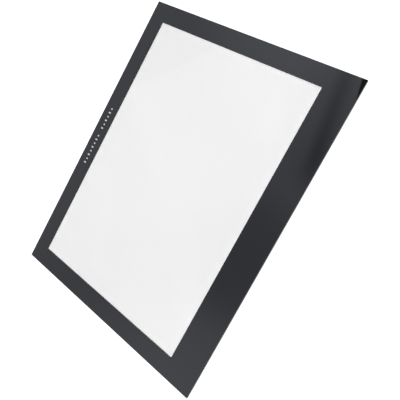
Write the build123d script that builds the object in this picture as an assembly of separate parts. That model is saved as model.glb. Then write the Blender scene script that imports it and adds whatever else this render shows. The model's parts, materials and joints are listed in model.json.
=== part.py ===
"""Edge-lit light box. X runs along the long side, Y from the wide front border to the rear, Z up.

The origin is under the middle of the top plate, at the level of the feet. All sizes are in millimetres.
"""
import os

from build123d import *

# Top plate and its borders
WINDOW_X, WINDOW_Y = 297.0, 210.0  # the lit window holds one A4 sheet
SIDE_BORDER, REAR_BORDER, FRONT_BORDER = 20.5, 19.5, 35.5
HEIGHT = 10.0
PLATE_T = 2.0
PLATE_CORNER_R = 0.3
PLATE_EDGE_CHAMFER = 0.25
MASK_T, MASK_INSET = 0.15, 0.1
TAPE_T, TAPE_INSET = 0.4, 0.8

# Printed scale in the rear border: two runs of short ticks
MARK_PITCH, MARK_W = 5.0, 1.5
MARK_LONG, MARK_SHORT = 3.0, 2.0
MARK_LINE_FROM_REAR = 10.1
LEFT_RUN, RIGHT_RUN = (-35.0, 8), (10.0, 6)  # first tick's X and the number of ticks

# Housing
OVERHANG = 5.5  # how far the plate stands out past the housing all round
HOUSE_CORNER_R = 5.0
WALL = 2.0
COVER_T = 1.4
COVER_EDGE_R = 1.0
SEAM_CHAMFER = 0.25
FLANGE_T, FLANGE_W = 0.8, 7.4  # the flange's width is counted from the wall's outer face
RIB_T = 1.2
REAR_RIBS_X = (-125.0, -90.0, -20.0, 20.0, 90.0, 125.0)
FRONT_RIBS_X = (-125.0, -90.0, -20.0, 20.0)  # none beside the driver board
SIDE_RIBS_Y = (-60.0, -30.0, 30.0, 60.0, 95.0)
LIP_T, LIP_H, LIP_GAP = 1.0, 0.6, 0.2
FOOT_REACH, FOOT_R, FOOT_RECESS, FOOT_FILLET, FOOT_GAP = 1.0, 6.0, 0.5, 0.4, 0.15
FOOT_X, FOOT_Y = 146.0, 110.0
LABEL_X, LABEL_Y, LABEL_T, LABEL_RECESS, LABEL_GAP, LABEL_R = 70.0, 32.0, 0.12, 0.2, 0.3, 1.0

# Cover screws, M2 countersunk
SCREW_R, SCREW_HEAD_R, SCREW_LENGTH = 1.0, 1.9, 5.0
SCREW_HOLE_R, PILOT_R, PILOT_SPARE = 1.15, 1.03, 0.2
BOSS_R, BOSS_INSET = 2.3, 3.9
MID_SCREW_X = 55.0

# Light guide and the sheets on it, from the cover upwards
STACK_MARGIN = 3.5  # past the window at the sides and the rear
GUIDE_FRONT = 3.0  # past the window at the front, where the LEDs are
REFLECTOR_T, GUIDE_T, LOWER_DIFFUSER_T, PRISM_T = 0.2, 3.5, 0.25, 0.25
RAIL_GAP, RAIL_T = 0.3, 3.6

# LED strip
LED_X, LED_Z, LED_T, LED_PITCH, LED_COUNT = 4.0, 1.4, 0.9, 7.0, 43
LED_LENS_INSET, LED_LENS_DEPTH = 0.35, 0.12
STRIP_HALF_X, STRIP_TAIL, STRIP_T, STRIP_Z = 149.2, 5.0, 1.0, 3.6
LED_GAP = 0.05
BAR_T, BAR_FOOT, BAR_FOOT_T = 1.0, 4.5, 0.8

# Driver board and what is on it
BOARD_T, BOARD_LIFT = 1.0, 0.8
BOARD_LEFT, BOARD_RIGHT, BOARD_FRONT, BOARD_REAR = 92.0, 154.0, -124.5, -109.3
BOARD_BOSS_R, BOARD_PILOT_R = 2.2, 0.83
BOARD_SCREW_R, BOARD_HEAD_R, BOARD_HEAD_H, BOARD_SCREW_DEPTH = 0.8, 1.6, 0.9, 2.5
BOARD_SCREWS = [(96.0, -122.3), (96.0, -112.8), (145.5, -122.3)]

# Power inlet, 3.5 mm barrel with a 1.3 mm centre pin
AXIS_Z = 5.0  # height of the inlet's and the button's centre lines
JACK_Y, JACK_L, JACK_W, JACK_H = -117.1, 10.0, 7.0, 4.4
JACK_BORE_R, JACK_BORE_DEPTH, JACK_HOLE_R = 1.8, 8.6, 1.85
PIN_R, PIN_BASE_R, PIN_BASE_T, PIN_RECESS, PIN_TIP, PIN_TAIL_R = 0.65, 1.2, 0.4, 0.8, 0.3, 0.45
GROOVE_DEPTH, GROOVE_W, GROOVE_BACK, GROOVE_FRONT = 0.45, 1.6, 7.0, 1.5
CONTACT_T = 0.25

# Power button and its switch
BUTTON_Y, BUTTON_W, BUTTON_H, BUTTON_PROUD = -109.5, 6.0, 2.4, 0.8
BUTTON_FLANGE, BUTTON_FLANGE_T, BUTTON_CLEAR, BUTTON_TRAVEL = 0.7, 1.0, 0.15, 0.6
SWITCH_X, SWITCH_L, SWITCH_W, SWITCH_H = 155.0, 3.6, 4.5, 2.0
PLUNGER_W, PLUNGER_H, PLUNGER_IN = 1.6, 1.0, 1.2
SHIELD_T = 0.2
FINGER_PAST = 0.4  # how far the board's finger runs past the switch

# Lead from the driver board to the LED strip
LEAD_R, LEAD_PITCH, LEAD_X, LEAD_BEND_R = 0.45, 1.6, 151.8, 0.8
HEADER_X, HEADER_Y, HEADER_H, HEADER_WALL, PLUG_SLACK = 5.0, 2.6, 2.3, 0.5, 0.08
PLUG_REACH = 1.4  # how far the plug stands out of its socket
SOLDER_R, SOLDER_H = 0.75, 0.7

# Levels and outlines that follow from the sizes above
PLATE_X = WINDOW_X + 2 * SIDE_BORDER
PLATE_Y = WINDOW_Y + REAR_BORDER + FRONT_BORDER
WINDOW_MID_Y = (FRONT_BORDER - REAR_BORDER) / 2
WINDOW_FRONT = WINDOW_MID_Y - WINDOW_Y / 2
WINDOW_REAR = WINDOW_MID_Y + WINDOW_Y / 2
PLATE_Z = HEIGHT - PLATE_T
MASK_Z = PLATE_Z - MASK_T
HOUSE_TOP = MASK_Z - TAPE_T
COVER_Z = FOOT_REACH
FLOOR_Z = COVER_Z + COVER_T
HOUSE_X = PLATE_X - 2 * OVERHANG
HOUSE_Y = PLATE_Y - 2 * OVERHANG
WALL_IN_X = HOUSE_X / 2 - WALL
WALL_IN_Y = HOUSE_Y / 2 - WALL
STACK_X = WINDOW_X / 2 + STACK_MARGIN
STACK_REAR = WINDOW_REAR + STACK_MARGIN
STACK_FRONT = WINDOW_FRONT - GUIDE_FRONT
GUIDE_Z = FLOOR_Z + REFLECTOR_T
LOWER_DIFFUSER_Z = GUIDE_Z + GUIDE_T
PRISM_Z = LOWER_DIFFUSER_Z + LOWER_DIFFUSER_T
UPPER_DIFFUSER_Z = PRISM_Z + PRISM_T
STRIP_REAR = STACK_FRONT - LED_GAP - LED_T
STRIP_FRONT = STRIP_REAR - STRIP_T
BAR_FRONT = STRIP_FRONT - BAR_T
BOARD_Z = FLOOR_Z + BOARD_LIFT
BOARD_TOP = BOARD_Z + BOARD_T
JACK_X = WALL_IN_X - JACK_L
HEADER_FRONT = BOARD_REAR - HEADER_Y - PLUG_REACH
PLUG_REAR = HEADER_FRONT + HEADER_Y + PLUG_REACH - 0.2
SCREW_SPOTS = [
    (sx * (HOUSE_X / 2 - BOSS_INSET), sy * (HOUSE_Y / 2 - BOSS_INSET)) for sx in (-1, 1) for sy in (-1, 1)
]
SCREW_SPOTS += [(sx * MID_SCREW_X, sy * (HOUSE_Y / 2 - BOSS_INSET)) for sx in (-1, 1) for sy in (-1, 1)]
SCREW_SPOTS += [(sx * (HOUSE_X / 2 - BOSS_INSET), 0.0) for sx in (-1, 1)]
FOOT_SPOTS = [(sx * FOOT_X, sy * FOOT_Y) for sx in (-1, 1) for sy in (-1, 1)]
EPS = 1.0  # how far cutting tools run past the faces they open


def slab(x0, x1, y0, y1, z0, z1):
    """A box between two opposite corners."""
    box = Box(x1 - x0, y1 - y0, z1 - z0)
    return Pos((x0 + x1) / 2, (y0 + y1) / 2, (z0 + z1) / 2) * box


def post(x, y, z0, z1, r0, r1=None):
    """An upright cylinder, or a cone when the top radius differs."""
    if r1 is None:
        solid = Cylinder(r0, z1 - z0)
    else:
        solid = Cone(r0, r1, z1 - z0)
    return Pos(x, y, (z0 + z1) / 2) * solid


def rod_x(x0, x1, y, z, r):
    """A cylinder along X."""
    return Pos((x0 + x1) / 2, y, z) * Rot(0, 90, 0) * Cylinder(r, x1 - x0)


def rounded(x_size, y_size, r, z0, z1):
    """A plate with rounded corners, centred on the origin in plan."""
    return Pos(0, 0, z0) * extrude(RectangleRounded(x_size, y_size, r), z1 - z0)


def side_slot(x0, x1, y, z, y_size, z_size, r):
    """A rounded bar along X, as the button and its slot are."""
    outline = Plane(origin=(x0, y, z), x_dir=(0, 1, 0), z_dir=(1, 0, 0)) * RectangleRounded(y_size, z_size, r)
    return extrude(outline, x1 - x0)


def cross_recess(x, y, z, size, depth, up):
    """The cross in a screw's head, cut downwards or upwards from the level z."""
    z0, z1 = (z, z + depth) if up else (z - depth, z)
    width = size / 4
    return [
        slab(x - size / 2, x + size / 2, y - width / 2, y + width / 2, z0, z1),
        slab(x - width / 2, x + width / 2, y - size / 2, y + size / 2, z0, z1),
    ]


def top_plate():
    plate = Pos(0, 0, PLATE_Z) * extrude(Rectangle(PLATE_X, PLATE_Y), PLATE_T)
    plate = fillet(plate.edges().filter_by(Axis.Z), PLATE_CORNER_R)
    return chamfer(plate.edges().group_by(Axis.Z)[-1], PLATE_EDGE_CHAMFER)


def mark_boxes():
    """The ticks of the printed scale, long and short in turn."""
    y_mid = PLATE_Y / 2 - MARK_LINE_FROM_REAR
    marks = []
    for first_x, count in (LEFT_RUN, RIGHT_RUN):
        for i in range(count):
            x = first_x + i * MARK_PITCH
            length = MARK_LONG if i % 2 == 0 else MARK_SHORT
            y0 = y_mid - MARK_LONG / 2
            marks.append(slab(x - MARK_W / 2, x + MARK_W / 2, y0, y0 + length, MASK_Z, PLATE_Z))
    return marks


def border_mask():
    sheet = rounded(PLATE_X - 2 * MASK_INSET, PLATE_Y - 2 * MASK_INSET, PLATE_CORNER_R, MASK_Z, PLATE_Z)
    window = slab(
        -WINDOW_X / 2, WINDOW_X / 2, WINDOW_FRONT, WINDOW_REAR, MASK_Z - EPS, PLATE_Z + EPS
    )
    return sheet - window - mark_boxes()


def plate_tape():
    outer_x, outer_y = HOUSE_X - 2 * TAPE_INSET, HOUSE_Y - 2 * TAPE_INSET
    ring = rounded(outer_x, outer_y, HOUSE_CORNER_R - TAPE_INSET, HOUSE_TOP, MASK_Z)
    gap = 2 * RAIL_GAP
    inside = slab(
        -STACK_X - gap, STACK_X + gap, STACK_FRONT - gap, STACK_REAR + gap, HOUSE_TOP - EPS, MASK_Z + EPS
    )
    bay = slab(
        -WALL_IN_X + FLANGE_W, WALL_IN_X - FLANGE_W,
        -WALL_IN_Y + FLANGE_W, STRIP_FRONT - BAR_FOOT - RAIL_T, HOUSE_TOP - EPS, MASK_Z + EPS,
    )
    return ring - inside - bay


def stack_sheet(z0, z1):
    """One of the sheets of the lit stack, which share an outline."""
    return slab(-STACK_X, STACK_X, STACK_FRONT, STACK_REAR, z0, z1)


def inner_frame():
    """White frame: rails at the sides and the rear, and a light shield over the LEDs at the front."""
    rail_in, rail_out = STACK_X + RAIL_GAP, STACK_X + RAIL_GAP + RAIL_T
    rear_in, rear_out = STACK_REAR + RAIL_GAP, STACK_REAR + RAIL_GAP + RAIL_T
    frame = slab(-rail_out, rail_out, rear_in, rear_out, FLOOR_Z, HOUSE_TOP)
    for side in (-1, 1):
        x0, x1 = sorted((side * rail_in, side * rail_out))
        frame += slab(x0, x1, STACK_FRONT, rear_out, FLOOR_Z, HOUSE_TOP)
    shield_front = STRIP_FRONT - BAR_T - BAR_FOOT - RAIL_GAP - RIB_T
    shield_rear = STACK_FRONT - 2 * RAIL_GAP
    shield_z = HOUSE_TOP - FLANGE_T
    frame += slab(-STRIP_HALF_X, STRIP_HALF_X, shield_front, shield_rear, shield_z, HOUSE_TOP)
    frame += slab(-STRIP_HALF_X, STRIP_HALF_X, shield_front, shield_front + RIB_T, FLOOR_Z, HOUSE_TOP)
    for side in (-1, 1):
        x0, x1 = sorted((side * (STRIP_HALF_X - RIB_T), side * rail_out))
        bridge = slab(x0, x1, shield_rear, STACK_FRONT + EPS, shield_z, HOUSE_TOP)
        frame += bridge - stack_sheet(FLOOR_Z, MASK_Z)
        frame += slab(x0, x1, shield_rear - RIB_T, shield_rear, shield_z, HOUSE_TOP)
    return frame


def led_strip_board():
    return slab(-STRIP_HALF_X, STRIP_HALF_X + STRIP_TAIL, STRIP_FRONT, STRIP_REAR, GUIDE_Z, GUIDE_Z + STRIP_Z)


def leds():
    z_mid = GUIDE_Z + GUIDE_T / 2
    parts = []
    for i in range(LED_COUNT):
        x = (i - (LED_COUNT - 1) / 2) * LED_PITCH
        body = slab(
            x - LED_X / 2, x + LED_X / 2, STRIP_REAR, STRIP_REAR + LED_T, z_mid - LED_Z / 2, z_mid + LED_Z / 2
        )
        cup = slab(
            x - LED_X / 2 + LED_LENS_INSET, x + LED_X / 2 - LED_LENS_INSET,
            STRIP_REAR + LED_T - LED_LENS_DEPTH, STRIP_REAR + LED_T + EPS,
            z_mid - LED_Z / 2 + LED_LENS_INSET, z_mid + LED_Z / 2 - LED_LENS_INSET,
        )
        parts.append(body - cup)
    return Compound(children=parts)


def led_bar():
    leg = slab(-STRIP_HALF_X, STRIP_HALF_X, BAR_FRONT, STRIP_FRONT, FLOOR_Z, GUIDE_Z + STRIP_Z)
    foot = slab(
        -STRIP_HALF_X, STRIP_HALF_X, BAR_FRONT - BAR_FOOT, BAR_FRONT, FLOOR_Z, FLOOR_Z + BAR_FOOT_T
    )
    return leg + foot


def inlet_side_cuts():
    """What the inlet and the button take out of the chassis's right wall and flange."""
    through = (WALL_IN_X - EPS, HOUSE_X / 2 + EPS)
    hole = rod_x(*through, JACK_Y, AXIS_Z, JACK_HOLE_R)
    clear = 2 * BUTTON_CLEAR
    slot = side_slot(*through, BUTTON_Y, AXIS_Z, BUTTON_W + clear, BUTTON_H + clear, BUTTON_H / 2)
    notch = slab(
        JACK_X - EPS, WALL_IN_X, JACK_Y - JACK_W / 2 - BUTTON_CLEAR, BUTTON_Y + BUTTON_W,
        HOUSE_TOP - FLANGE_T - EPS, HOUSE_TOP + EPS,
    )
    return [hole, slot, notch]


def chassis_frame():
    """Black frame: a wall all round with an inward flange, screw bosses and ribs."""
    outer = rounded(HOUSE_X, HOUSE_Y, HOUSE_CORNER_R, FLOOR_Z, HOUSE_TOP)
    outer = chamfer(outer.edges().group_by(Axis.Z)[0], SEAM_CHAMFER)
    inner_r = HOUSE_CORNER_R - WALL
    frame = outer - rounded(2 * WALL_IN_X, 2 * WALL_IN_Y, inner_r, FLOOR_Z - EPS, HOUSE_TOP + EPS)
    flange = rounded(2 * WALL_IN_X, 2 * WALL_IN_Y, inner_r, HOUSE_TOP - FLANGE_T, HOUSE_TOP)
    opening_x = HOUSE_X / 2 - FLANGE_W
    opening_rear = STACK_REAR + RAIL_GAP + RAIL_T + RAIL_GAP
    opening_front = FLANGE_W - HOUSE_Y / 2
    frame += flange - slab(-opening_x, opening_x, opening_front, opening_rear, FLOOR_Z, HOUSE_TOP + EPS)
    for x, y in SCREW_SPOTS:
        frame += post(x, y, FLOOR_Z, HOUSE_TOP, BOSS_R)
    rib_z = FLOOR_Z + LIP_H + LIP_GAP
    for x in REAR_RIBS_X:
        frame += slab(x - RIB_T / 2, x + RIB_T / 2, opening_rear, WALL_IN_Y, rib_z, HOUSE_TOP)
    for side in (-1, 1):
        for y in SIDE_RIBS_Y:
            x0, x1 = sorted((side * opening_x, side * WALL_IN_X))
            frame += slab(x0, x1, y - RIB_T / 2, y + RIB_T / 2, rib_z, HOUSE_TOP)
    for x in FRONT_RIBS_X:
        frame += slab(x - RIB_T / 2, x + RIB_T / 2, -WALL_IN_Y, opening_front, rib_z, HOUSE_TOP)
    pilot_top = COVER_Z + SCREW_LENGTH + PILOT_SPARE
    pilots = [post(x, y, FLOOR_Z - EPS, pilot_top, PILOT_R) for x, y in SCREW_SPOTS]
    return frame - pilots - inlet_side_cuts()


def cover_lip():
    """Low lip that locates the cover inside the chassis's wall, open at the bosses and at the inlet."""
    outer_x, outer_y = 2 * (WALL_IN_X - LIP_GAP), 2 * (WALL_IN_Y - LIP_GAP)
    radius = HOUSE_CORNER_R - WALL - LIP_GAP
    z0, z1 = FLOOR_Z, FLOOR_Z + LIP_H
    lip = rounded(outer_x, outer_y, radius, z0, z1)
    lip -= rounded(outer_x - 2 * LIP_T, outer_y - 2 * LIP_T, radius - LIP_T, z0 - EPS, z1 + EPS)
    lip -= [post(x, y, z0 - EPS, z1 + EPS, BOSS_R + LIP_GAP) for x, y in SCREW_SPOTS]
    lip -= slab(
        JACK_X, WALL_IN_X, JACK_Y - JACK_W / 2 - LIP_GAP, BUTTON_Y + BUTTON_W, z0 - EPS, z1 + EPS
    )
    return lip


def back_cover():
    cover = rounded(HOUSE_X, HOUSE_Y, HOUSE_CORNER_R, COVER_Z, FLOOR_Z)
    cover = fillet(cover.edges().group_by(Axis.Z)[0], COVER_EDGE_R)
    cover = chamfer(cover.edges().group_by(Axis.Z)[-1], SEAM_CHAMFER)
    cover += cover_lip()
    for x, y in BOARD_SCREWS:
        cover += post(x, y, FLOOR_Z, BOARD_Z, BOARD_BOSS_R)
    cuts = [post(x, y, COVER_Z - EPS, COVER_Z + FOOT_RECESS, FOOT_R + FOOT_GAP) for x, y in FOOT_SPOTS]
    sink_h = SCREW_HEAD_R - SCREW_HOLE_R
    for x, y in SCREW_SPOTS:
        cuts.append(post(x, y, COVER_Z, COVER_Z + sink_h, SCREW_HEAD_R, SCREW_HOLE_R))
        cuts.append(post(x, y, COVER_Z - EPS, FLOOR_Z + EPS, SCREW_HOLE_R))
    for x, y in BOARD_SCREWS:
        cuts.append(post(x, y, BOARD_TOP - BOARD_SCREW_DEPTH - PILOT_SPARE, BOARD_Z + EPS, BOARD_PILOT_R))
    label_x, label_y = LABEL_X + 2 * LABEL_GAP, LABEL_Y + 2 * LABEL_GAP
    cuts.append(rounded(label_x, label_y, LABEL_R, COVER_Z - EPS, COVER_Z + LABEL_RECESS))
    return cover - cuts


def cover_screws():
    head_h = SCREW_HEAD_R - SCREW_R
    parts = []
    for x, y in SCREW_SPOTS:
        screw = post(x, y, COVER_Z, COVER_Z + head_h, SCREW_HEAD_R, SCREW_R)
        screw += post(x, y, COVER_Z + head_h, COVER_Z + SCREW_LENGTH, SCREW_R)
        parts.append(screw - cross_recess(x, y, COVER_Z, SCREW_HEAD_R, head_h / 2, True))
    return Compound(children=parts)


def rubber_feet():
    parts = []
    for x, y in FOOT_SPOTS:
        foot = post(x, y, 0, COVER_Z + FOOT_RECESS, FOOT_R)
        parts.append(fillet(foot.edges().group_by(Axis.Z)[0], FOOT_FILLET))
    return Compound(children=parts)


def rating_label():
    z1 = COVER_Z + LABEL_RECESS
    return rounded(LABEL_X, LABEL_Y, LABEL_R, z1 - LABEL_T, z1)


def driver_board():
    """Board with a notch for the inlet and a finger that carries the switch."""
    board = slab(BOARD_LEFT, BOARD_RIGHT, BOARD_FRONT, BOARD_REAR, BOARD_Z, BOARD_TOP)
    board += slab(
        BOARD_RIGHT - EPS, SWITCH_X + SWITCH_L + FINGER_PAST,
        JACK_Y + JACK_W / 2, BUTTON_Y + SWITCH_W / 2 + LIP_GAP, BOARD_Z, BOARD_TOP,
    )
    gap = BUTTON_CLEAR
    board -= slab(
        JACK_X - gap, WALL_IN_X, JACK_Y - JACK_W / 2 - gap, JACK_Y + JACK_W / 2 + gap,
        BOARD_Z - EPS, BOARD_TOP + EPS,
    )
    return board - [post(x, y, BOARD_Z - EPS, BOARD_TOP + EPS, BOARD_PILOT_R) for x, y in BOARD_SCREWS]


def board_screws():
    parts = []
    for x, y in BOARD_SCREWS:
        head = post(x, y, BOARD_TOP, BOARD_TOP + BOARD_HEAD_H, BOARD_HEAD_R)
        head = fillet(head.edges().group_by(Axis.Z)[-1], BOARD_HEAD_H / 2)
        screw = head + post(x, y, BOARD_TOP - BOARD_SCREW_DEPTH, BOARD_TOP, BOARD_SCREW_R)
        cross = cross_recess(x, y, BOARD_TOP + BOARD_HEAD_H, BOARD_HEAD_R, BOARD_HEAD_H / 2, False)
        parts.append(screw - cross)
    return Compound(children=parts)


def chip(x, y, x_size, y_size, height, edge=0.0):
    """A component that stands on the driver board, centred on x, y."""
    body = slab(
        x - x_size / 2, x + x_size / 2, y - y_size / 2, y + y_size / 2, BOARD_TOP, BOARD_TOP + height
    )
    return chamfer(body.edges().group_by(Axis.Z)[-1], edge) if edge else body


def driver_ic(x=119.0, y=-117.5):
    return chip(x, y, 5.0, 4.0, 1.5, 0.2)


def ic_leads(x=119.0, y=-117.5):
    """Eight gull-wing leads, four on each long side of the chip."""
    pitch, width, reach, thickness, shoulder = 1.27, 0.4, 1.0, 0.2, 0.6
    parts = []
    for side in (-1, 1):
        y_body, y_tip = y + side * 2.0, y + side * (2.0 + reach)
        y_knee = y_body + side * thickness
        for i in range(4):
            lead_x = x + (i - 1.5) * pitch
            x0, x1 = lead_x - width / 2, lead_x + width / 2
            y0, y1 = sorted((y_body, y_tip))
            k0, k1 = sorted((y_body, y_knee))
            foot = slab(x0, x1, y0, y1, BOARD_TOP, BOARD_TOP + thickness)
            parts.append(foot + slab(x0, x1, k0, k1, BOARD_TOP, BOARD_TOP + shoulder))
    return Compound(children=parts)


def power_inductor(x=131.0, y=-117.5):
    """Shielded inductor: a square ferrite block with a round core that stands a little proud."""
    height, core_rise, core_r = 2.3, 0.2, 2.1
    body = fillet(chip(x, y, 6.0, 6.0, height).edges().filter_by(Axis.Z), 1.0)
    return body + post(x, y, BOARD_TOP + height, BOARD_TOP + height + core_rise, core_r)


def filter_capacitors():
    return Compound(children=[chip(x, -115.2, 3.2, 6.0, 2.3, 0.15) for x in (138.5, 143.5)])


def chip_capacitors():
    return Compound(children=[chip(112.0 + 5.0 * i, -122.6, 2.0, 1.25, 0.9) for i in range(5)])


def chip_resistors():
    return Compound(children=[chip(102.0 + 4.0 * i, -112.0, 1.6, 0.8, 0.45) for i in range(6)])


def rectifier_diode():
    return chip(108.5, -117.5, 4.3, 2.6, 2.1, 0.2)


def lead_header():
    """Socket that is open towards the rear, where the plug goes in."""
    x0, x1 = LEAD_X - HEADER_X / 2, LEAD_X + HEADER_X / 2
    wall = HEADER_WALL
    body = slab(x0, x1, HEADER_FRONT, HEADER_FRONT + HEADER_Y, BOARD_TOP, BOARD_TOP + HEADER_H)
    room = slab(
        x0 + wall, x1 - wall, HEADER_FRONT + 2 * wall, HEADER_FRONT + HEADER_Y + EPS,
        BOARD_TOP + wall, BOARD_TOP + HEADER_H - wall,
    )
    return body - room


def lead_plug():
    half_x = HEADER_X / 2 - HEADER_WALL - PLUG_SLACK
    z0, z1 = BOARD_TOP + HEADER_WALL, BOARD_TOP + HEADER_H - HEADER_WALL - PLUG_SLACK
    return slab(LEAD_X - half_x, LEAD_X + half_x, HEADER_FRONT + 2 * HEADER_WALL, PLUG_REAR, z0, z1)


def lead(x):
    """An insulated lead from the plug to the strip's tail, with two gentle bends."""
    z_plug = BOARD_TOP + HEADER_H / 2
    z_strip = GUIDE_Z + STRIP_Z / 2
    y0, y1 = PLUG_REAR, STRIP_FRONT
    straight = 2.3
    route = [(x, y0, z_plug), (x, y0 + straight, z_plug), (x, y1 - straight, z_strip), (x, y1, z_strip)]
    path = FilletPolyline(*route, radius=LEAD_BEND_R)
    section = Plane(origin=route[0], z_dir=(0, 1, 0)) * Circle(LEAD_R)
    return sweep(section, path=path)


def solder_joints():
    z = GUIDE_Z + STRIP_Z / 2
    parts = []
    for side in (-1, 1):
        x = LEAD_X + side * LEAD_PITCH / 2
        cone = Pos(x, STRIP_FRONT - SOLDER_H / 2, z) * Rot(90, 0, 0) * Cone(SOLDER_R, LEAD_R + 0.05, SOLDER_H)
        bore = Pos(x, STRIP_FRONT, z) * Rot(90, 0, 0) * Cylinder(LEAD_R, 4 * SOLDER_H)
        parts.append(cone - bore)
    return Compound(children=parts)


def dc_jack_body():
    y0, y1 = JACK_Y - JACK_W / 2, JACK_Y + JACK_W / 2
    body = slab(JACK_X, WALL_IN_X, y0, y1, AXIS_Z - JACK_H / 2, AXIS_Z + JACK_H / 2)
    body = chamfer(body.edges().filter_by(Axis.X), 0.4)
    tab = 0.5
    body += slab(JACK_X - 2.0, JACK_X, JACK_Y - 1.5, JACK_Y + 1.5, BOARD_TOP, BOARD_TOP + tab)
    body += slab(JACK_X + tab, BOARD_RIGHT - tab, y0 - 1.4, y0, BOARD_TOP, BOARD_TOP + tab)
    bore = rod_x(WALL_IN_X - JACK_BORE_DEPTH, WALL_IN_X + EPS, JACK_Y, AXIS_Z, JACK_BORE_R)
    tail_hole = rod_x(JACK_X - EPS, WALL_IN_X, JACK_Y, AXIS_Z, PIN_TAIL_R + 0.02)
    groove = slab(
        WALL_IN_X - GROOVE_BACK, WALL_IN_X - GROOVE_FRONT,
        JACK_Y - JACK_BORE_R - GROOVE_DEPTH, JACK_Y - JACK_BORE_R / 2,
        AXIS_Z - GROOVE_W / 2, AXIS_Z + GROOVE_W / 2,
    )
    return body - bore - tail_hole - groove


def dc_jack_pin():
    """Centre pin with a collar on the bore's floor and a thin tail out of the back."""
    back = WALL_IN_X - JACK_BORE_DEPTH
    pin = rod_x(back, WALL_IN_X - PIN_RECESS, JACK_Y, AXIS_Z, PIN_R)
    pin = chamfer(pin.edges().group_by(Axis.X)[-1], PIN_TIP)
    pin += rod_x(back, back + PIN_BASE_T, JACK_Y, AXIS_Z, PIN_BASE_R)
    return pin + rod_x(JACK_X - PIN_BASE_T, back, JACK_Y, AXIS_Z, PIN_TAIL_R)


def dc_jack_contact():
    """Leaf contact that lies in the groove beside the bore."""
    y0 = JACK_Y - JACK_BORE_R - GROOVE_DEPTH
    end, side = 0.1, 0.1
    return slab(
        WALL_IN_X - GROOVE_BACK + end, WALL_IN_X - GROOVE_FRONT - end, y0, y0 + CONTACT_T,
        AXIS_Z - GROOVE_W / 2 + side, AXIS_Z + GROOVE_W / 2 - side,
    )


def switch_body():
    y0, y1 = BUTTON_Y - SWITCH_W / 2, BUTTON_Y + SWITCH_W / 2
    body = slab(SWITCH_X, SWITCH_X + SWITCH_L, y0, y1, BOARD_TOP, BOARD_TOP + SWITCH_H)
    gap = 0.05
    room = slab(
        SWITCH_X + SWITCH_L - PLUNGER_IN - BUTTON_TRAVEL - LIP_GAP, SWITCH_X + SWITCH_L + EPS,
        BUTTON_Y - PLUNGER_W / 2 - gap, BUTTON_Y + PLUNGER_W / 2 + gap,
        AXIS_Z - PLUNGER_H / 2 - gap, AXIS_Z + PLUNGER_H / 2 + gap,
    )
    return body - room


def switch_shield():
    """Folded metal cover over the switch's top and sides."""
    y0, y1 = BUTTON_Y - SWITCH_W / 2, BUTTON_Y + SWITCH_W / 2
    top = BOARD_TOP + SWITCH_H
    x0, x1 = SWITCH_X, SWITCH_X + SWITCH_L
    shield = slab(x0, x1, y0 - SHIELD_T, y1 + SHIELD_T, BOARD_TOP + SHIELD_T, top + SHIELD_T)
    return shield - slab(x0 - EPS, x1 + EPS, y0, y1, FLOOR_Z, top)


def switch_plunger():
    x_back = SWITCH_X + SWITCH_L - PLUNGER_IN
    x_front = WALL_IN_X - BUTTON_FLANGE_T
    return slab(
        x_back, x_front, BUTTON_Y - PLUNGER_W / 2, BUTTON_Y + PLUNGER_W / 2,
        AXIS_Z - PLUNGER_H / 2, AXIS_Z + PLUNGER_H / 2,
    )


def power_button():
    x_flange, x_wall, x_face = WALL_IN_X - BUTTON_FLANGE_T, WALL_IN_X, HOUSE_X / 2 + BUTTON_PROUD
    corner_r = BUTTON_H / 2 - BUTTON_CLEAR
    cap = side_slot(x_wall, x_face, BUTTON_Y, AXIS_Z, BUTTON_W, BUTTON_H, corner_r)
    cap = fillet(cap.edges().group_by(Axis.X)[-1], BUTTON_PROUD / 2)
    grow = 2 * BUTTON_FLANGE
    return cap + side_slot(x_flange, x_wall, BUTTON_Y, AXIS_Z, BUTTON_W + grow, BUTTON_H + grow, corner_r)


def all_nodes():
    half_pitch = LEAD_PITCH / 2
    return {
        "top_plate": top_plate(),
        "border_mask": border_mask(),
        "printed_marks": Compound(children=mark_boxes()),
        "plate_tape": plate_tape(),
        "upper_diffuser": stack_sheet(UPPER_DIFFUSER_Z, MASK_Z),
        "prism_film": stack_sheet(PRISM_Z, UPPER_DIFFUSER_Z),
        "lower_diffuser": stack_sheet(LOWER_DIFFUSER_Z, PRISM_Z),
        "light_guide_plate": stack_sheet(GUIDE_Z, LOWER_DIFFUSER_Z),
        "reflector_sheet": stack_sheet(FLOOR_Z, GUIDE_Z),
        "inner_frame": inner_frame(),
        "led_strip_board": led_strip_board(),
        "leds": leds(),
        "led_bar": led_bar(),
        "chassis_frame": chassis_frame(),
        "back_cover": back_cover(),
        "cover_screws": cover_screws(),
        "rubber_feet": rubber_feet(),
        "rating_label": rating_label(),
        "driver_board": driver_board(),
        "board_screws": board_screws(),
        "driver_ic": driver_ic(),
        "ic_leads": ic_leads(),
        "power_inductor": power_inductor(),
        "filter_capacitors": filter_capacitors(),
        "chip_capacitors": chip_capacitors(),
        "chip_resistors": chip_resistors(),
        "rectifier_diode": rectifier_diode(),
        "lead_header": lead_header(),
        "lead_plug": lead_plug(),
        "lead_positive": lead(LEAD_X + half_pitch),
        "lead_negative": lead(LEAD_X - half_pitch),
        "solder_joints": solder_joints(),
        "dc_jack_body": dc_jack_body(),
        "dc_jack_pin": dc_jack_pin(),
        "dc_jack_contact": dc_jack_contact(),
        "switch_body": switch_body(),
        "switch_shield": switch_shield(),
        "switch_plunger": switch_plunger(),
        "power_button": power_button(),
    }


os.makedirs("parts", exist_ok=True)
for name, shape in all_nodes().items():
    export_step(shape, f"parts/{name}.step")
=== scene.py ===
"""Light box: materials, detail pieces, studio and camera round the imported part, in metres in its frame."""
import json
import math

import bmesh
import bpy
from mathutils import Matrix, Vector


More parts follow.
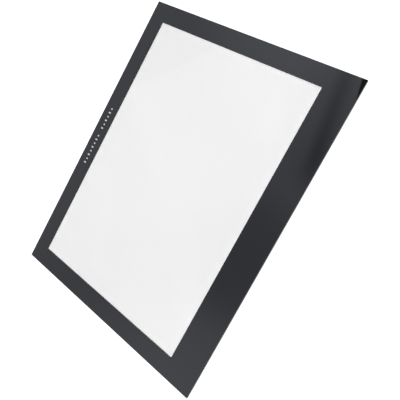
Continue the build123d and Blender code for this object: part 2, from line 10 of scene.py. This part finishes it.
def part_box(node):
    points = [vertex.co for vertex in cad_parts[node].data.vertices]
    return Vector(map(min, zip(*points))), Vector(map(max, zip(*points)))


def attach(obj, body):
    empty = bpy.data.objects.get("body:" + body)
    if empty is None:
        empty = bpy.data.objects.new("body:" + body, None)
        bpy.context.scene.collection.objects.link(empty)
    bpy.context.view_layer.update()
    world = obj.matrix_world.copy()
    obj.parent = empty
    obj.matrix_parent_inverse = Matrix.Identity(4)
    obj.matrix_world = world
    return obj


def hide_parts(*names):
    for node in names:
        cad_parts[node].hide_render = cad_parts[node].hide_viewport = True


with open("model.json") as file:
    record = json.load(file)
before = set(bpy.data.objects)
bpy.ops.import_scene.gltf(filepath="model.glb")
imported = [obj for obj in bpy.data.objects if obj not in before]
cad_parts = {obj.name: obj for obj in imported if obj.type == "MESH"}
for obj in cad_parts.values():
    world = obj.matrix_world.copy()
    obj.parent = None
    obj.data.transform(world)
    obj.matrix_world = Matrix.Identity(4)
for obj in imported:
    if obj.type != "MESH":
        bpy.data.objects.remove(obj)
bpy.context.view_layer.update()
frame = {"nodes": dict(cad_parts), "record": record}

MM = 0.001
BASE = "base"

# Optical contact between the clear sheet and the print on its back
PRINT_CONTACT = 0.02 * MM
ACRYLIC_IOR = 1.49
# The sheet's top face over the print: its reflection is a trace stronger, and bluish
GLOSS_IOR = 1.52
GLOSS_TINT = (0.83, 0.88, 0.965, 1.0)

# The print on the sheet's back is shown at its top face, except this far in front of the window,
# where a look through the sheet's thickness shows more of the window
SIGHT_MARGIN = 1.0 * MM
# How far the sheets of the lit stack reach past the window: sides and rear, then front
STACK_MARGIN, STACK_FRONT_MARGIN = 3.5 * MM, 3.0 * MM

# Light emitted by the opal sheet behind the clear one, the painted shade that weakens it towards +X, and the
# painted light that raises it along the sides, as a part of one
WINDOW_GLOW, PAINTED_SHADE_FALL = 0.46, 0.025
PAINTED_LIGHT_RIM, PAINTED_LIGHT_RIM_WIDTH = 0.08, 8 * MM


class Graph:
    """Short ways to add and join shader nodes."""

    def __init__(self, tree):
        self.nodes = tree.nodes
        self.links = tree.links

    def feed(self, socket, value):
        """Joins a socket to another node's output, or sets its plain value."""
        if isinstance(value, bpy.types.NodeSocket):
            self.links.new(value, socket)
        else:
            socket.default_value = value

    def calculate(self, operation, a, b=0.5):
        node = self.nodes.new("ShaderNodeMath")
        node.operation = operation
        self.feed(node.inputs[0], a)
        self.feed(node.inputs[1], b)
        return node.outputs[0]

    def vector(self, operation, a, b):
        node = self.nodes.new("ShaderNodeVectorMath")
        node.operation = operation
        self.feed(node.inputs[0], a)
        self.feed(node.inputs[1], b)
        return node

    def spread(self, value, low, high, start=0.3, end=0.7, smooth=False):
        """The value's range from start to end, spread from low to high and held there outside it."""
        node = self.nodes.new("ShaderNodeMapRange")
        if smooth:
            node.interpolation_type = "SMOOTHSTEP"
        for socket, number in (("From Min", start), ("From Max", end), ("To Min", low), ("To Max", high)):
            node.inputs[socket].default_value = number
        self.links.new(value, node.inputs["Value"])
        return node.outputs["Result"]


class Finish(Graph):
    """A material on a Principled shader, with helpers that add textures at real sizes."""

    def __init__(self, name, colour, roughness, **inputs):
        self.data = bpy.data.materials.new(name)
        self.data.use_nodes = True
        super().__init__(self.data.node_tree)
        self.shader = self.nodes["Principled BSDF"]
        self.place = self.nodes.new("ShaderNodeTexCoord").outputs["Object"]
        self.set("Base Color", (*colour, 1.0))
        self.set("Roughness", roughness)
        for key, value in inputs.items():
            self.set(key.replace("_", " "), value)

    def set(self, socket, value):
        self.feed(self.shader.inputs[socket], value)

    def axis(self, index):
        """One of the object's own coordinates, in metres."""
        split = self.nodes.new("ShaderNodeSeparateXYZ")
        self.links.new(self.place, split.inputs[0])
        return split.outputs[index]

    def inset(self, node):
        """Distance inwards from the nearest side of a CAD node's box, seen from above."""
        low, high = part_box(node)
        sides = []
        for axis in (0, 1):
            offset = self.calculate("SUBTRACT", self.axis(axis), (low[axis] + high[axis]) / 2)
            half_side = (high[axis] - low[axis]) / 2
            sides.append(self.calculate("SUBTRACT", half_side, self.calculate("ABSOLUTE", offset)))
        return self.calculate("MINIMUM", sides[0], sides[1])

    def noise(self, size, detail=3.0, stretch=None):
        """Noise from 0 to 1 with features of about this size in metres, finer along a stretched axis."""
        node = self.nodes.new("ShaderNodeTexNoise")
        node.inputs["Scale"].default_value = 1.0 / size
        node.inputs["Detail"].default_value = detail
        place = self.vector("MULTIPLY", self.place, stretch).outputs[0] if stretch else self.place
        self.links.new(place, node.inputs["Vector"])
        return node.outputs["Fac"]

    def cells(self, size):
        """Distance to the nearest of scattered points about this far apart in metres."""
        node = self.nodes.new("ShaderNodeTexVoronoi")
        node.inputs["Scale"].default_value = 1.0 / size
        self.links.new(self.place, node.inputs["Vector"])
        return node.outputs["Distance"]

    def vary_colour(self, factor, first, second):
        node = self.nodes.new("ShaderNodeMix")
        node.data_type = "RGBA"
        self.links.new(factor, node.inputs["Factor"])
        node.inputs["A"].default_value = (*first, 1.0)
        node.inputs["B"].default_value = (*second, 1.0)
        self.set("Base Color", node.outputs["Result"])

    def vary_roughness(self, value, low, high):
        self.set("Roughness", self.spread(value, low, high))

    def polish(self):
        """A polished face with faint wiping marks."""
        self.vary_roughness(self.noise(60 * MM, 4.0, (1.0, 3.5, 1.0)), 0.0, 0.018)

    def relief(self, height, depth):
        """Bump whose full height is depth metres."""
        node = self.nodes.new("ShaderNodeBump")
        node.inputs["Strength"].default_value = 1.0
        node.inputs["Distance"].default_value = depth
        self.links.new(height, node.inputs["Height"])
        self.set("Normal", node.outputs["Normal"])


def tinted(colour, factor):
    return tuple(min(1.0, c * factor) for c in colour)


def clear_sheet():
    """Polished acrylic."""
    colour = (0.998, 0.992, 0.992)
    finish = Finish("clear_sheet", colour, 0.0, Transmission_Weight=1.0, IOR=ACRYLIC_IOR)
    finish.polish()
    return finish


def print_under_gloss(name, colour):
    """The print as it shows through the polished sheet: a dark or white ground below a sharp reflection."""
    finish = Finish(name, colour, 0.0, IOR=GLOSS_IOR)
    finish.set("Specular Tint", GLOSS_TINT)
    finish.vary_colour(finish.noise(0.4 * MM, 3.0), tinted(colour, 0.9), tinted(colour, 1.1))
    finish.polish()
    return finish


def satin_edge(name, colour):
    """The sheet's sawn and blackened sides."""
    finish = Finish(name, colour, 0.3, Specular_IOR_Level=0.3)
    saw = finish.noise(0.5 * MM, 2.0, (1.0, 1.0, 0.1))
    finish.vary_colour(finish.noise(6 * MM), tinted(colour, 0.8), tinted(colour, 1.2))
    finish.vary_roughness(saw, 0.22, 0.38)
    finish.relief(saw, 0.004 * MM)
    return finish


def opal_sheet():
    """Opal acrylic lit from behind, with painted light that makes it a trace brighter along its sides and
    painted shade that makes it weaker towards one end.
    """
    colour = (0.55, 0.55, 0.55)
    finish = Finish("opal_sheet", colour, 0.55, Specular_IOR_Level=0.2)
    cloud = finish.noise(35 * MM, 2.0)
    finish.vary_colour(cloud, tinted(colour, 0.99), tinted(colour, 1.01))
    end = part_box("upper_diffuser")[1].x
    # Painted shade: the glow falls off towards +X. Painted light: the glow rises near the window's sides.
    painted_shade = finish.spread(finish.axis(0), WINDOW_GLOW, WINDOW_GLOW - PAINTED_SHADE_FALL, 0.0, end, smooth=True)
    inset, reach = finish.inset("upper_diffuser"), STACK_MARGIN + PAINTED_LIGHT_RIM_WIDTH
    rim = finish.spread(inset, 1.0 + PAINTED_LIGHT_RIM, 1.0, STACK_MARGIN, reach, smooth=True)
    even = finish.calculate("MULTIPLY", painted_shade, rim)
    finish.set("Emission Color", (1.0, 0.995, 0.998, 1.0))
    finish.set("Emission Strength", finish.calculate("MULTIPLY", even, finish.spread(cloud, 0.99, 1.01)))
    return finish


def back_print(name, colour):
    """Screen print in optical contact with the clear sheet, so it has no gloss of its own."""
    finish = Finish(name, colour, 0.6, Specular_IOR_Level=0.0)
    finish.vary_colour(finish.noise(0.4 * MM, 3.0), tinted(colour, 0.9), tinted(colour, 1.1))
    finish.relief(finish.noise(0.25 * MM), 0.002 * MM)
    return finish


def moulded(name, colour, roughness=0.5, grain=0.45, depth=0.02, sheen=0.5):
    """Moulded plastic with a spark-eroded grain: sizes in millimetres."""
    finish = Finish(name, colour, roughness, Specular_IOR_Level=sheen)
    cloud = finish.noise(28 * MM, 3.0)
    finish.vary_colour(cloud, tinted(colour, 0.85), tinted(colour, 1.15))
    fine = finish.noise(grain * MM, 4.0)
    pits = finish.spread(finish.cells(grain * 1.6 * MM), 0.0, 1.0, 0.1, 0.9)
    finish.relief(finish.calculate("MULTIPLY", fine, pits), depth * MM)
    rubbed = finish.calculate("MULTIPLY", cloud, finish.spread(fine, 0.8, 1.2))
    finish.vary_roughness(rubbed, roughness - 0.08, roughness + 0.08)
    return finish


def rubber(name, colour):
    finish = Finish(name, colour, 0.8, Specular_IOR_Level=0.3)
    finish.vary_colour(finish.noise(1.5 * MM, 4.0), tinted(colour, 0.7), tinted(colour, 1.5))
    finish.relief(finish.noise(0.3 * MM, 3.0), 0.02 * MM)
    return finish


def metal(name, colour, roughness, along=(1.0, 12.0, 12.0), lay=0.8):
    """Metal with a fine lay along one axis and duller patches."""
    finish = Finish(name, colour, roughness, Metallic=1.0)
    streaks = finish.noise(lay * MM, 3.0, along)
    finish.vary_roughness(streaks, roughness * 0.7, roughness * 1.3)
    finish.vary_colour(finish.noise(4 * MM), tinted(colour, 0.88), tinted(colour, 1.06))
    finish.relief(streaks, 0.002 * MM)
    return finish


def oxide_steel(name, colour):
    """Black oxide that has worn thin in places."""
    finish = Finish(name, colour, 0.42, Metallic=0.85)
    worn = finish.spread(finish.noise(0.9 * MM, 5.0), 0.0, 1.0, 0.55, 0.8)
    finish.vary_colour(worn, colour, (0.20, 0.20, 0.21))
    finish.vary_roughness(finish.noise(0.5 * MM), 0.34, 0.52)
    finish.relief(finish.noise(0.2 * MM), 0.004 * MM)
    return finish


def foil_label(name, colour):
    """Blank silver film with a thin printed frame near its edge."""
    frame_in, line = 2.2 * MM, 0.3 * MM
    finish = Finish(name, colour, 0.38, Metallic=0.6)
    past_line = finish.calculate("SUBTRACT", finish.inset("rating_label"), frame_in)
    off_line = finish.calculate("ABSOLUTE", past_line)
    on_line = finish.calculate("LESS_THAN", off_line, line / 2)
    finish.vary_colour(on_line, colour, (0.05, 0.05, 0.055))
    streaks = finish.noise(0.6 * MM, 2.0, (0.15, 6.0, 1.0))
    finish.vary_roughness(streaks, 0.3, 0.46)
    finish.relief(streaks, 0.001 * MM)
    return finish


def circuit_board(name, colour):
    """Solder mask over copper tracks, which show as slightly raised, lighter lines."""
    finish = Finish(name, colour, 0.35)
    tracks = finish.nodes.new("ShaderNodeTexBrick")
    tracks.inputs["Scale"].default_value = 1.0 / (9 * MM)
    tracks.inputs["Mortar Size"].default_value = 0.06
    finish.links.new(finish.place, tracks.inputs["Vector"])
    finish.vary_colour(tracks.outputs["Fac"], colour, tinted(colour, 1.8))
    finish.relief(tracks.outputs["Fac"], 0.03 * MM)
    finish.vary_roughness(finish.noise(2 * MM), 0.28, 0.42)
    return finish


def ceramic(name, colour, roughness=0.6):
    finish = Finish(name, colour, roughness)
    finish.vary_colour(finish.cells(0.35 * MM), tinted(colour, 0.75), tinted(colour, 1.25))
    finish.relief(finish.noise(0.15 * MM), 0.01 * MM)
    return finish


def all_finishes():
    """One finish for each of the record's material slots."""
    return {
        "clear_sheet": clear_sheet(),
        "print_gloss": print_under_gloss("print_gloss", (0.0042, 0.0044, 0.0048)),
        "sheet_edge": satin_edge("sheet_edge", (0.006, 0.006, 0.007)),
        "mark_gloss": print_under_gloss("mark_gloss", (0.57, 0.58, 0.59)),
        "black_print": back_print("black_print", (0.0055, 0.0058, 0.0066)),
        "white_print": back_print("white_print", (0.82, 0.83, 0.84)),
        "tape": rubber("tape", (0.03, 0.03, 0.032)),
        "opal_diffuser": opal_sheet(),
        "film": moulded("film", (0.85, 0.86, 0.87), 0.35, 0.2, 0.002),
        "light_guide": moulded("light_guide", (0.88, 0.92, 0.92), 0.15, 1.2, 0.01),
        "white_sheet": moulded("white_sheet", (0.90, 0.90, 0.90), 0.5, 0.3, 0.003),
        "white_moulding": moulded("white_moulding", (0.82, 0.82, 0.81), 0.45, 0.4, 0.01),
        "strip_board": circuit_board("strip_board", (0.45, 0.46, 0.45)),
        "led_package": ceramic("led_package", (0.85, 0.80, 0.45), 0.3),
        "led_bar": metal("led_bar", (0.75, 0.76, 0.77), 0.35),
        "black_moulding": moulded("black_moulding", (0.020, 0.020, 0.022), 0.48, 0.5, 0.03),
        "screw_steel": oxide_steel("screw_steel", (0.035, 0.035, 0.038)),
        "rubber": rubber("rubber", (0.022, 0.022, 0.022)),
        "label": foil_label("label", (0.62, 0.63, 0.64)),
        "board": circuit_board("board", (0.012, 0.10, 0.035)),
        "board_steel": metal("board_steel", (0.62, 0.62, 0.60), 0.3),
        "chip_black": moulded("chip_black", (0.022, 0.022, 0.022), 0.55, 0.15, 0.006),
        "tinned": metal("tinned", (0.72, 0.72, 0.70), 0.3, (1.0, 1.0, 1.0), 0.4),
        "ferrite": ceramic("ferrite", (0.05, 0.05, 0.055), 0.65),
        "tantalum": moulded("tantalum", (0.55, 0.27, 0.03), 0.4, 0.2, 0.004),
        "chip_tan": ceramic("chip_tan", (0.42, 0.29, 0.17), 0.5),
        "connector": moulded("connector", (0.74, 0.72, 0.62), 0.42, 0.3, 0.006),
        "lead_red": moulded("lead_red", (0.45, 0.012, 0.010), 0.35, 0.3, 0.004),
        "lead_black": moulded("lead_black", (0.015, 0.015, 0.015), 0.35, 0.3, 0.004),
        "solder": metal("solder", (0.68, 0.68, 0.67), 0.22, (1.0, 1.0, 1.0), 0.5),
        "jack_pin": metal("jack_pin", (0.78, 0.75, 0.68), 0.24, (1.0, 14.0, 14.0), 0.5),
        "jack_contact": metal("jack_contact", (0.70, 0.52, 0.22), 0.3),
        "button": moulded("button", (0.026, 0.026, 0.028), 0.36, 0.3, 0.01),
    }


finishes = all_finishes()
slot_of = {entry["node"]: entry["material_slot"] for entry in frame["record"]["subparts"]}


def paint_nodes():
    for name, node in frame["nodes"].items():
        finish = finishes[slot_of[name]].data
        if not node.material_slots:
            node.data.materials.append(finish)
        for slot in node.material_slots:
            slot.material = finish


def soften_edges(name, width):
    """A small moulded or tumbled radius on a CAD node's sharp edges."""
    bevel = frame["nodes"][name].modifiers.new("edge_radius", "BEVEL")
    bevel.width = width
    bevel.segments = 2
    bevel.limit_method = "ANGLE"
    bevel.angle_limit = math.radians(40)
    bevel.harden_normals = True


def new_piece(name, mesh, slot, body, *stands_for):
    """A visible piece with the slot's finish, riding on a body, in place of CAD nodes if any are named."""
    piece = bpy.data.objects.new(name, mesh)
    bpy.context.scene.collection.objects.link(piece)
    mesh.materials.append(finishes[slot].data)
    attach(piece, body)
    if stands_for:
        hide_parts(*stands_for)
    return piece


def tick_outlines():
    """Each printed tick's rectangle, read from the CAD node: lowest and highest x, then y."""
    widest = 2.0 * MM
    points = sorted((v.co.x, v.co.y) for v in frame["nodes"]["printed_marks"].data.vertices)
    groups = [[points[0]]]
    for before, point in zip(points, points[1:]):
        if point[0] - before[0] > widest:
            groups.append([])
        groups[-1].append(point)
    return [(g[0][0], g[-1][0], min(p[1] for p in g), max(p[1] for p in g)) for g in groups]


def window_outline():
    """The window's sides in the sheet's top face: lowest and highest x, then y."""
    low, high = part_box("upper_diffuser")
    front = low.y + STACK_FRONT_MARGIN - SIGHT_MARGIN
    return low.x + STACK_MARGIN, high.x - STACK_MARGIN, front, high.y - STACK_MARGIN


def inside(point, outline):
    x0, x1, y0, y1 = outline
    return x0 < point.x < x1 and y0 < point.y < y1


def cut_faces(shape, faces, axis, levels):
    """Splits flat faces along lines of constant x or y, and gives back all the resulting faces."""
    for level in levels:
        geometry = set(faces)
        for face in faces:
            geometry.update(face.edges)
            geometry.update(face.verts)
        centre, normal = Vector((0, 0, 0)), Vector((0, 0, 0))
        centre[axis] = level
        normal[axis] = 1.0
        cut = bmesh.ops.bisect_plane(shape, geom=list(geometry), plane_co=centre, plane_no=normal)
        faces = list({f for f in cut["geom"] if isinstance(f, bmesh.types.BMFace)})
    return faces


def face_outline(face):
    xs, ys = [v.co.x for v in face.verts], [v.co.y for v in face.verts]
    return min(xs), max(xs), min(ys), max(ys)


def plate_block():
    """The sheet as a block with rounded corners and a polished arris round its top."""
    low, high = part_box("top_plate")
    low = low - Vector((0, 0, PRINT_CONTACT))
    corner_radius, arris = 0.3 * MM, 0.25 * MM
    shape = bmesh.new()
    bmesh.ops.create_cube(shape, size=1.0)
    bmesh.ops.scale(shape, vec=high - low, verts=shape.verts)
    bmesh.ops.translate(shape, vec=(low + high) / 2, verts=shape.verts)
    upright = [e for e in shape.edges if abs(e.verts[0].co.z - e.verts[1].co.z) > arris]
    bmesh.ops.bevel(shape, geom=upright, offset=corner_radius, segments=6, profile=0.5, affect="EDGES")
    top = max(shape.faces, key=lambda f: f.calc_center_median().z)
    bmesh.ops.bevel(shape, geom=list(top.edges), offset=arris, segments=3, profile=0.5, affect="EDGES")
    return shape


def cut_print(shape, window, ticks):
    """Cuts the block's top face along the outlines of the window and of the ticks behind it."""
    top = max(shape.faces, key=lambda f: (f.calc_center_median().z, f.calc_area()))
    panels = cut_faces(shape, cut_faces(shape, [top], 0, window[:2]), 1, window[2:])
    rear = [f for f in panels if inside(Vector((ticks[0][0], ticks[0][3], 0)), face_outline(f))]
    strips = cut_faces(shape, rear, 1, sorted({round(y, 7) for tick in ticks for y in tick[2:]}))
    row = [f for f in strips if ticks[0][2] < f.calc_center_median().y < ticks[0][3]]
    cut_faces(shape, row, 0, sorted(x for tick in ticks for x in tick[:2]))


# The clear plate's finishes
PLATE_SLOTS = ("clear_sheet", "print_gloss", "mark_gloss", "sheet_edge")


def plate_finish(face, window, ticks):
    """A face's place in PLATE_SLOTS: the underside is clear, and so is the top over the window."""
    clear, printed, mark, edge = range(len(PLATE_SLOTS))
    middle, up = face.calc_center_median(), face.normal.z
    if up < -0.5 or up > 0.99 and inside(middle, window):
        return clear
    if up < 0.1:
        return edge
    if any(inside(middle, tick) for tick in ticks):
        return mark
    return printed


def sort_by_place(shape):
    """Lists points, edges and faces by where they are, as the cuts leave them in an order that varies."""
    def corners(part):
        return sorted(v.co[:] for v in part.verts)

    for parts, place in ((shape.verts, lambda v: v.co[:]), (shape.edges, corners), (shape.faces, corners)):
        ranks = {part: rank for rank, part in enumerate(sorted(parts, key=place))}
        parts.sort(key=ranks.get)


def clear_plate():
    """The clear sheet. The print on its back shows round the window, under gloss."""
    window, ticks = window_outline(), tick_outlines()
    shape = plate_block()
    cut_print(shape, window, ticks)
    sort_by_place(shape)
    for face in shape.faces:
        face.material_index = plate_finish(face, window, ticks)
    mesh = bpy.data.meshes.new("clear_plate")
    shape.to_mesh(mesh)
    shape.free()
    new_piece("clear_plate", mesh, PLATE_SLOTS[0], BASE, "top_plate")
    for slot in PLATE_SLOTS[1:]:
        mesh.materials.append(finishes[slot].data)


def lathe(profile, centre, steps, mesh_name):
    """A solid of revolution about an upright axis. Its profile is (radius, height), from axis to axis."""
    shape = bmesh.new()
    rings = []
    for radius, height in profile:
        if radius == 0.0:
            rings.append([shape.verts.new((centre[0], centre[1], height))])
            continue
        ring = []
        for step in range(steps):
            turn = 2 * math.pi * step / steps
            x, y = centre[0] + radius * math.cos(turn), centre[1] + radius * math.sin(turn)
            ring.append(shape.verts.new((x, y, height)))
        rings.append(ring)
    for below, above in zip(rings, rings[1:]):
        for step in range(steps):
            after = (step + 1) % steps
            if len(below) == 1:
                corners = [below[0], above[after], above[step]]
            elif len(above) == 1:
                corners = [below[step], below[after], above[0]]
            else:
                corners = [below[step], below[after], above[after], above[step]]
            shape.faces.new(corners)
    bmesh.ops.recalc_face_normals(shape, faces=shape.faces)
    mesh = bpy.data.meshes.new(mesh_name)
    shape.to_mesh(mesh)
    shape.free()
    for face in mesh.polygons:
        face.use_smooth = True
    mesh.set_sharp_from_angle(angle=math.radians(40))
    return mesh


FOOT_RADIUS = 6.0 * MM


def foot_profile(radius, top):
    """A rubber foot's section: dished underneath, a rounded rim, two shallow grip rings."""
    rim = 0.45 * MM
    dish = 0.18 * MM
    inner = 0.62 * radius
    points = [(0.0, dish), (inner - 0.5 * MM, dish), (inner, 0.0)]
    ring_width, ring_depth = 0.35 * MM, 0.12 * MM
    for ring in (0.70, 0.80):
        start = ring * radius
        points += [(start, 0.0), (start + ring_width / 4, ring_depth)]
        points += [(start + 3 * ring_width / 4, ring_depth), (start + ring_width, 0.0)]
    for step in range(7):
        turn = math.radians(90 * step / 6)
        points.append((radius - rim + rim * math.sin(turn), rim - rim * math.cos(turn)))
    return points + [(radius, top), (0.0, top)]


def rubber_feet():
    """Four separate feet, one object each, in the cover's recesses."""
    low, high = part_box("rubber_feet")
    for side_x, x in (("left", low.x + FOOT_RADIUS), ("right", high.x - FOOT_RADIUS)):
        for side_y, y in (("front", low.y + FOOT_RADIUS), ("rear", high.y - FOOT_RADIUS)):
            name = f"rubber_foot_{side_y}_{side_x}"
            mesh = lathe(foot_profile(FOOT_RADIUS, high.z), (x, y), 64, name)
            new_piece(name, mesh, "rubber", BASE)
    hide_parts("rubber_feet")


def add_floor():
    """A pale floor, a hair below the feet so that it never shares their faces."""
    half, gap = 4.0, 0.05 * MM
    mesh = bpy.data.meshes.new("floor")
    corners = [(-half, -half, 0), (half, -half, 0), (half, half, 0), (-half, half, 0)]
    mesh.from_pydata(corners, [], [(0, 1, 2, 3)])
    floor = bpy.data.objects.new("floor", mesh)
    floor.location.z = -gap
    bpy.context.scene.collection.objects.link(floor)
    finish = Finish("floor", (0.35, 0.35, 0.35), 0.75, Specular_IOR_Level=0.1)
    finish.set("Emission Color", (1.0, 1.0, 1.0, 1.0))
    finish.set("Emission Strength", 0.92)
    mesh.materials.append(finish.data)


def direction(azimuth, elevation):
    """A unit vector: the azimuth is counted from +X towards +Y, both in degrees."""
    a, e = math.radians(azimuth), math.radians(elevation)
    return Vector((math.cos(a) * math.cos(e), math.sin(a) * math.cos(e), math.sin(e)))


def midway(start, end):
    return (start + end).normalized()


# The tent's light, and the least that is left of it anywhere
TENT_LEVEL, TENT_FLOOR = 1.0, 0.08
# Panels brighter or dimmer than the rest: azimuth, elevation and radius in degrees, and the light each adds
TENT_PANELS = (
    (50, 60, 20, 0.6),
    (150, 50, 20, 0.4),
    (115, 65, 10, -0.3),
    (65, 70, 10, -0.4),
    (126, 47, 12, -0.15),
)
# The seam between two panels: two points on it, half its width, its reach from midway between, its light
SEAM = ((57, 64), (70, 67.5), 1.6, 5.5, -0.4)
# A small black flag, seen in the front right corner: two points on its straight edge, its reach, its light
FLAG = ((54.6, 65.4), (58.4, 66.95), 1.35, -1.5)
# How far the flag fades at its straight edge and at its round one, in degrees
FLAG_EDGE, FLAG_FADE = 0.12, 0.4


class Tent(Graph):
    """The light's level in every direction, from how closely a direction keeps to given ones."""

    def __init__(self, tree):
        super().__init__(tree)
        self.towards = self.nodes.new("ShaderNodeTexCoord").outputs["Generated"]

    def along(self, vector):
        return self.vector("DOT_PRODUCT", self.towards, vector).outputs["Value"]

    def patch(self, centre, radius, amount, core=0.0):
        """Light within a radius of a direction, full inside the core."""
        edge, full = math.cos(math.radians(radius)), math.cos(math.radians(core))
        return self.spread(self.along(centre), 0.0, amount, edge, full, smooth=True)

    def seam(self, start, end, half_width, reach, amount):
        """A soft line through two directions, which fades beyond its reach."""
        half = math.sin(math.radians(half_width))
        off_line = self.calculate("ABSOLUTE", self.along(start.cross(end).normalized()))
        line = self.spread(off_line, 1.0, 0.0, 0.0, half, smooth=True)
        return self.calculate("MULTIPLY", line, self.patch(midway(start, end), 2 * reach, amount, reach))

    def flag(self, start, end, reach, amount):
        """One side of a sharp line through two directions, within its reach."""
        soft = math.sin(math.radians(FLAG_EDGE))
        side = self.spread(self.along(start.cross(end).normalized()), 0.0, 1.0, -soft, soft)
        disc = self.patch(midway(start, end), reach + FLAG_FADE, amount, reach)
        return self.calculate("MULTIPLY", side, disc)


def add_surround():
    """Soft white tent light with brighter and dimmer panels, a dim seam between two of them and a flag."""
    world = bpy.data.worlds.new("studio")
    bpy.context.scene.world = world
    world.use_nodes = True
    tent = Tent(world.node_tree)
    level = TENT_LEVEL
    for azimuth, elevation, radius, amount in TENT_PANELS:
        level = tent.calculate("ADD", level, tent.patch(direction(azimuth, elevation), radius, amount))
    start, end, *rest = SEAM
    level = tent.calculate("ADD", level, tent.seam(direction(*start), direction(*end), *rest))
    start, end, *rest = FLAG
    level = tent.calculate("ADD", level, tent.flag(direction(*start), direction(*end), *rest))
    background = tent.nodes["Background"]
    tent.feed(background.inputs["Strength"], tent.calculate("MAXIMUM", level, TENT_FLOOR))
    tent.feed(background.inputs["Color"], (0.985, 0.99, 1.0, 1.0))


def add_top_light():
    """One large softbox overhead, which gives the housing its shape and the floor its soft shadow."""
    light = bpy.data.lights.new("softbox", "AREA")
    light.shape = "RECTANGLE"
    light.size, light.size_y = 2.0, 2.0
    light.energy = 6.0
    box = bpy.data.objects.new("softbox", light)
    bpy.context.scene.collection.objects.link(box)
    box.location = (0.1, 0.1, 1.6)
    aim = Vector((0, 0, 0)) - box.location
    box.rotation_euler = aim.to_track_quat("-Z", "Y").to_euler()
    box.visible_glossy = False
    box.visible_camera = False


def add_camera():
    """Looks down on the sheet from the front right, rolled so that the long side stands up in the frame."""
    azimuth, elevation, roll = (math.radians(a) for a in (13.26, 59.31, 72.97))
    place = Vector((57.4, -284.6, 431.8)) * MM
    forward = Vector((
        -math.sin(azimuth) * math.cos(elevation),
        math.cos(azimuth) * math.cos(elevation),
        -math.sin(elevation),
    ))
    level_right = forward.cross(Vector((0, 0, 1))).normalized()
    level_up = level_right.cross(forward)
    up = level_right * math.sin(roll) + level_up * math.cos(roll)
    right = forward.cross(up)
    data = bpy.data.cameras.new("camera")
    data.lens, data.sensor_width = 43.72, 36.0
    data.clip_start, data.clip_end = 0.01, 50.0
    camera = bpy.data.objects.new("camera", data)
    bpy.context.scene.collection.objects.link(camera)
    turn = Matrix((right, up, -forward)).transposed()
    camera.matrix_world = Matrix.Translation(place) @ turn.to_4x4()
    bpy.context.scene.camera = camera


bpy.context.scene.view_settings.view_transform = "Standard"
paint_nodes()
for node_name, radius in (("chassis_frame", 0.12), ("dc_jack_body", 0.1), ("power_button", 0.08)):
    soften_edges(node_name, radius * MM)
clear_plate()
rubber_feet()
add_floor()
add_surround()
add_top_light()
add_camera()
